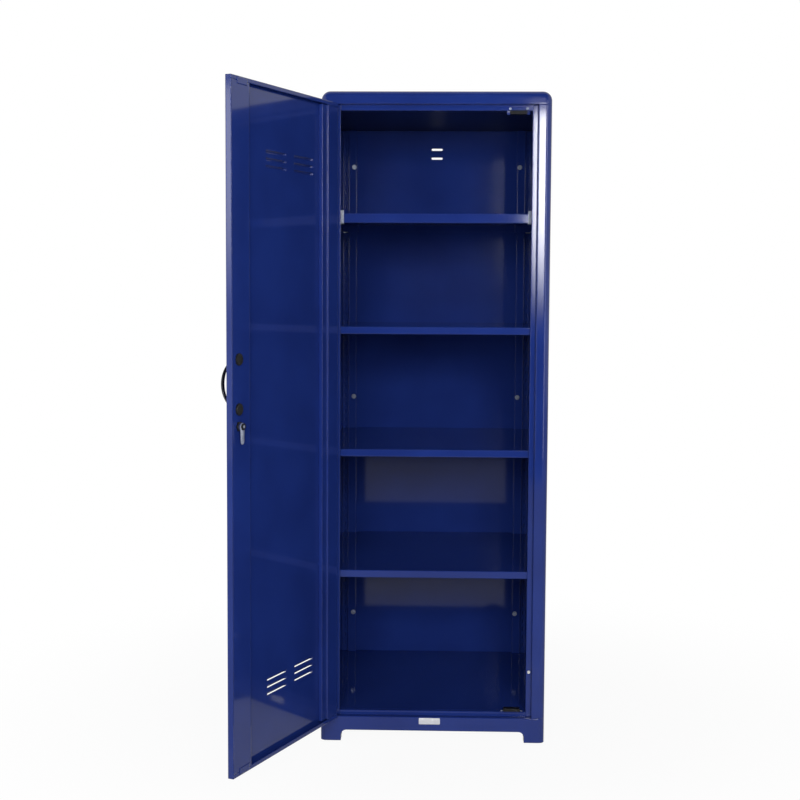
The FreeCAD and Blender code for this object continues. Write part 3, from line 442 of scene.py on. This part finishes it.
barrel_low, barrel_high = solids("lock_barrel", DOOR)[0]
lock_x = (barrel_low.x + barrel_high.x) / 2
lock_z = (barrel_low.z + barrel_high.z) / 2
length = barrel_high.y - barrel_low.y
BARREL_BORE = 6.1
BARREL_RADIUS = 9
ROSETTE_RADIUS = 13
ROSETTE_THICKNESS = 3
barrel = bmesh.new()
turn(barrel, [(BARREL_BORE, 0), (BARREL_RADIUS, 0), (BARREL_RADIUS, length - ROSETTE_THICKNESS),
              (ROSETTE_RADIUS, length - ROSETTE_THICKNESS), (ROSETTE_RADIUS, length - 1.4),
              (12.4, length - 0.5), (11.2, length), (7.4, length), (BARREL_BORE, length - 0.7),
              (BARREL_BORE, 0)],
     48, at((lock_x, barrel_high.y, lock_z)))
fit("lock_rosette", barrel, "door", "chrome_plate", "lock_barrel", place=DOOR)

LOCK_NUT = [(9.1, 0), (12.6, 0), (12.6, 3.2), (11.7, 4), (9.1, 4)]
nut_low = solids("lock_nut", DOOR)[0][0]
nut = bmesh.new()
turn(nut, LOCK_NUT, 6, at((lock_x, nut_low.y, lock_z), "+y"))
fit("lock_nut_chamfered", nut, "door", "black_plastic", "lock_nut", place=DOOR)

plug_low, plug_high = solids("lock_plug", DOOR)[0]
plug_length = plug_high.y - plug_low.y
PLUG_RADIUS = 6
PLUG_CHAMFER = 0.5
plug = bmesh.new()
turn(plug, [(0, 0), (PLUG_RADIUS, 0), (PLUG_RADIUS, plug_length - PLUG_CHAMFER),
            (PLUG_RADIUS - PLUG_CHAMFER, plug_length), (0, plug_length)], 40,
     at((lock_x, plug_high.y, lock_z)))
fit("lock_plug_turned", plug, "lock", "chrome_plate", "lock_plug", place=DOOR)
# The keyway is a black sheet standing a hair proud of the plug: painted shade in place of the dark slot.
KEYWAY_WIDTH = 1.5
KEYWAY_HEIGHT = 7.6
painted_keyway_shade = bmesh.new()
slab(painted_keyway_shade, rounded_rectangle(KEYWAY_WIDTH, KEYWAY_HEIGHT, 0.6), -0.4, 0.04, 0.02,
     at((lock_x, plug_low.y, lock_z)))
fit("lock_keyway_painted_shade", painted_keyway_shade, "lock", "black_plastic", place=DOOR)

cam_low, cam_high = solids("lock_cam", DOOR)[0]
BOSS_STEPS = 16
TONGUE_STEPS = 12
TONGUE_SHARE = 0.72
boss = cam_high.z - lock_z
tongue = boss * TONGUE_SHARE
tip = lock_z - cam_low.z - tongue
cam_outline = [(boss * math.cos(math.pi * step / BOSS_STEPS),
                boss * math.sin(math.pi * step / BOSS_STEPS)) for step in range(BOSS_STEPS + 1)]
cam_outline += [(-tongue * math.cos(math.pi * step / TONGUE_STEPS),
                 -tip - tongue * math.sin(math.pi * step / TONGUE_STEPS))
                for step in range(TONGUE_STEPS + 1)]
cam = bmesh.new()
slab(cam, [(x, -y) for x, y in cam_outline][::-1], 0, cam_high.y - cam_low.y, 0.35,
     at((lock_x, cam_low.y, lock_z), "+y"))
fit("lock_cam_pressed", cam, "lock", "zinc_steel", "lock_cam", place=DOOR)

CAM_NUT = [(0, 0), (9, 0), (9, 2.8), (8, 4), (4.2, 4), (4, 3.4), (0, 3.4)]
STUD_END = [(0, 3.0), (3.8, 3.0), (3.8, 3.6), (3.1, 4.0), (0, 4.0)]
screw_low = solids("cam_screw", DOOR)[0][0]
cam_nut = bmesh.new()
turn(cam_nut, CAM_NUT, 6, at((lock_x, screw_low.y, lock_z), "+y"))
fit("cam_nut_chamfered", cam_nut, "lock", "black_plastic", "cam_screw", place=DOOR)
stud = bmesh.new()
turn(stud, STUD_END, 24, at((lock_x, screw_low.y, lock_z), "+y"))
fit("cam_stud_end", stud, "lock", "zinc_steel", place=DOOR)


# ---------------------------------------------------------------- catches, stop and label

CATCH_PLATE = 1.5
CATCH_PLATE_CORNER = 2
CATCH_TOP_TAB_SET_BACK = 17
HOUSING_SET_BACK = 20
HOUSING_DEPTH = 19
HOUSING_TOP_HEIGHT = 10
HOUSING_END_GAPS = 18

for node in ("catch_top", "catch_bottom"):
    low, high = solids(node)[0]
    middle_x = (low.x + high.x) / 2
    width = high.x - low.x
    # The upper catch hangs from an upright tab, the lower one stands on a level tab.
    if node == "catch_top":
        tab_reach = high.z - low.z
        tab_place = at((middle_x, low.y + CATCH_TOP_TAB_SET_BACK, (low.z + high.z) / 2), "-y")
        housing_high = low.z + HOUSING_TOP_HEIGHT
    else:
        tab_reach = high.y - low.y
        tab_place = at((middle_x, (low.y + high.y) / 2, low.z), "+z")
        housing_high = high.z
    housing = bmesh.new()
    slab(housing, rounded_rectangle(width - HOUSING_END_GAPS, housing_high - low.z, 1.2),
         0, HOUSING_DEPTH, 0.5,
         at((middle_x, low.y + HOUSING_SET_BACK, (low.z + housing_high) / 2), "-y"))
    fit(node + "_moulded", housing, "cabinet", "black_plastic", node)
    tab = bmesh.new()
    slab(tab, rounded_rectangle(width, tab_reach, CATCH_PLATE_CORNER), 0, CATCH_PLATE, 0.3,
         tab_place)
    fit(node + "_plate", tab, "cabinet", "blue_enamel")

low, high = solids("stile_bumper")[0]
depth = high.y - low.y
stop = bmesh.new()
turn(stop, [(0, 0), (4.0, 0), (4.4, depth * 0.35), (4.1, depth * 0.75), (3.0, depth * 0.95),
            (0, depth)], 32,
     at(((low.x + high.x) / 2, high.y, (low.z + high.z) / 2)))
fit("stile_bumper_domed", stop, "cabinet", "white_rubber", "stile_bumper")

# A bare plate: a rim with a slightly raised field.
RIM_WIDTHS = 3.4
low, high = solids("label_plate")[0]
label_place = at(((low.x + high.x) / 2, high.y, (low.z + high.z) / 2))
label_width = high.x - low.x
label_height = high.z - low.z
plate = bmesh.new()
slab(plate, rounded_rectangle(label_width, label_height, 2.2), 0, 0.55, 0.15, label_place)
slab(plate, rounded_rectangle(label_width - RIM_WIDTHS, label_height - RIM_WIDTHS, 1.2),
     0.4, 0.8, 0.15, label_place)
fit("label_plate_embossed", plate, "cabinet", "label_aluminium", "label_plate")


# ---------------------------------------------------------------- stage

def seen_directly(tree, mirrored):
    """One where the camera sees it, the mirrored share in gloss or through glass, else zero."""
    path = add(tree, "ShaderNodeLightPath").outputs
    clear = add(tree, "ShaderNodeMath",
                {0: path["Is Glossy Ray"], 1: path["Is Transmission Ray"]}, operation="MAXIMUM")
    clear = add(tree, "ShaderNodeMath", {0: clear.outputs[0], 1: mirrored}, operation="MULTIPLY")
    seen = add(tree, "ShaderNodeMath",
               {0: path["Is Camera Ray"], 1: clear.outputs[0]}, operation="MAXIMUM")
    return seen.outputs[0]


def build_world():
    """White surroundings that light the object as a mid grey."""
    world = bpy.data.worlds.new("studio")
    bpy.context.scene.world = world
    world.use_nodes = True
    tree = world.node_tree
    tree.nodes.clear()
    seen = seen_directly(tree, MIRRORED_WORLD)
    tint = add(tree, "ShaderNodeMix",
               {"Factor": seen, 6: linear("707072"), 7: linear("ffffff")}, data_type="RGBA")
    sky = add(tree, "ShaderNodeBackground", {"Color": tint.outputs[2], "Strength": 1.0})
    output = add(tree, "ShaderNodeOutputWorld")
    tree.links.new(sky.outputs[0], output.inputs["Surface"])


def build_floor():
    """Pale studio floor that keeps a faint contact shadow."""
    material, tree, output = new_material("studio_floor")
    matt = add(tree, "ShaderNodeBsdfDiffuse", {"Color": linear("d8d8da")})
    glow = add(tree, "ShaderNodeEmission", {"Color": linear("ffffff"), "Strength": 1.0})
    place = add(tree, "ShaderNodeTexCoord").outputs["Object"]
    away = add(tree, "ShaderNodeVectorMath", {0: place}, operation="LENGTH")
    near = add(tree, "ShaderNodeMapRange",
               {"Value": away.outputs["Value"], "From Min": 0.4, "From Max": 1.8,
                "To Min": 0.94, "To Max": 1.0}, interpolation_type="SMOOTHSTEP")
    share = add(tree, "ShaderNodeMath",
                {0: seen_directly(tree, MIRRORED_FLOOR), 1: near.outputs["Result"]},
                operation="MULTIPLY")
    mixed = add(tree, "ShaderNodeMixShader",
                {0: share.outputs[0], 1: matt.outputs[0], 2: glow.outputs[0]})
    finish_material(tree, output, mixed)
    mesh = bpy.data.meshes.new("studio_floor")
    reach = 12.0
    mesh.from_pydata([(-reach, -reach, 0), (reach, -reach, 0), (reach, reach, 0),
                      (-reach, reach, 0)], [], [(0, 1, 2, 3)])
    floor = bpy.data.objects.new("studio_floor", mesh)
    collection.objects.link(floor)
    mesh.materials.append(material)


def soft_box(name, place, width, height, power):
    """Rectangular soft box aimed at the cabinet, which no gloss mirrors."""
    lamp = bpy.data.lights.new(name, "AREA")
    lamp.shape = "RECTANGLE"
    lamp.size = width
    lamp.size_y = height
    lamp.energy = power
    holder = bpy.data.objects.new(name, lamp)
    collection.objects.link(holder)
    holder.location = place
    aim = Vector(AIM) - Vector(place)
    holder.rotation_euler = aim.to_track_quat("-Z", "Y").to_euler()
    holder.visible_camera = False
    holder.visible_glossy = False


def build_card(name, low, high, shader):
    """Flat card between two corners that only gloss and glass show; it lights nothing else."""
    if low[2] == high[2]:
        corners = [low, (high[0], low[1], low[2]), high, (low[0], high[1], high[2])]
    else:
        corners = [low, (high[0], high[1], low[2]), high, (low[0], low[1], high[2])]
    material, tree, output = new_material(name)
    finish_material(tree, output, shader(tree))
    mesh = bpy.data.meshes.new(name)
    mesh.from_pydata(corners, [], [(0, 1, 2, 3)])
    mesh.materials.append(material)
    card = bpy.data.objects.new(name, mesh)
    collection.objects.link(card)
    card.visible_camera = False
    card.visible_diffuse = False
    card.visible_shadow = False


def black_cloth(tree):
    """Dark studio cloth."""
    return add(tree, "ShaderNodeBsdfDiffuse", {"Color": linear("141416")})


def grey_cloth(tree):
    """Even grey over the far floor, which calms the mirror image of it."""
    return add(tree, "ShaderNodeEmission", {"Color": linear("b0b0b0"), "Strength": 1.0})


def fading_strip(low, high):
    """Strip light that fades towards its lower end; a strength of 1 is plain white."""
    def shader(tree):
        place = add(tree, "ShaderNodeTexCoord").outputs["Object"]
        height = add(tree, "ShaderNodeSeparateXYZ", {"Vector": place}).outputs["Z"]
        fade = add(tree, "ShaderNodeMapRange",
                   {"Value": height, "From Min": FADE_BOTTOM, "From Max": FADE_TOP,
                    "To Min": low, "To Max": high}, interpolation_type="SMOOTHERSTEP")
        return add(tree, "ShaderNodeEmission",
                   {"Color": linear("fdfdff"), "Strength": fade.outputs["Result"]})
    return shader


def build_camera():
    """Camera a little above the upper shelf, looking slightly down."""
    camera = bpy.data.cameras.new("view")
    camera.sensor_width = SENSOR_MM
    camera.lens = LENS_MM
    camera.clip_end = 50
    holder = bpy.data.objects.new("view", camera)
    collection.objects.link(holder)
    yaw, pitch, roll = (math.radians(angle) for angle in CAMERA_TURNS)
    forward = Vector((math.sin(yaw) * math.cos(pitch), math.cos(yaw) * math.cos(pitch),
                      -math.sin(pitch)))
    across = Vector((math.cos(yaw), -math.sin(yaw), 0))
    upward = across.cross(forward)
    right = across * math.cos(roll) + upward * math.sin(roll)
    top = upward * math.cos(roll) - across * math.sin(roll)
    turn = Matrix((right, top, -forward)).transposed()
    holder.matrix_world = Matrix.Translation(Vector(CAMERA_AT_MM) * MM) @ turn.to_4x4()
    bpy.context.scene.camera = holder


build_world()
build_floor()
build_card("flag_front", (-4, -5.6, 0.02), (4, -5.6, 5), black_cloth)
build_card("strip_right", (0.515, -4.2, 0.6), (0.72, -4.2, 2.24), fading_strip(0.0, 33.0))
build_card("cloth_floor", (-4, -5.6, 0.015), (4, -1.1, 0.015), grey_cloth)
build_card("flag_top", (-4, -5.6, 5), (4, -1, 5), black_cloth)
build_card("strip_wide_left", (-2.7, -4.2, 0.3), (-1.3, -4.2, 2.4), fading_strip(3.0, 9.0))
build_card("strip_side", (-4.2, -4.8, 0.3), (-4.2, -2.8, 2.4), fading_strip(0.8, 4.5))
build_card("strip_wide_right", (1.7, -4.2, 0.3), (2.7, -4.2, 2.4), fading_strip(3.0, 5.0))
for lamp in (("key_high", (0.3, -3.8, 3.0), 2.4, 0.8, 18),
             ("front_right", (0.85, -4.6, 2.0), 0.7, 0.8, 46),
             ("front_left", (-0.65, -4.6, 2.0), 0.7, 0.8, 36),
             ("front_low", (0.1, -4.7, 1.35), 0.8, 0.5, 26),
             ("fill_left", (-1.7, -4.0, 1.4), 0.5, 1.6, 14),
             ("fill_right", (1.7, -4.0, 1.4), 0.5, 1.6, 5),
             ("side_left", (-4.2, 0.6, 2.0), 1.6, 2.2, 44),
             ("side_right", (4.2, 1.6, 2.0), 1.6, 2.2, 18),
             ("behind", (0.4, 4.4, 2.2), 2.2, 1.8, 40)):
    soft_box(*lamp)
build_camera()
bpy.context.scene.view_settings.view_transform = "Standard"
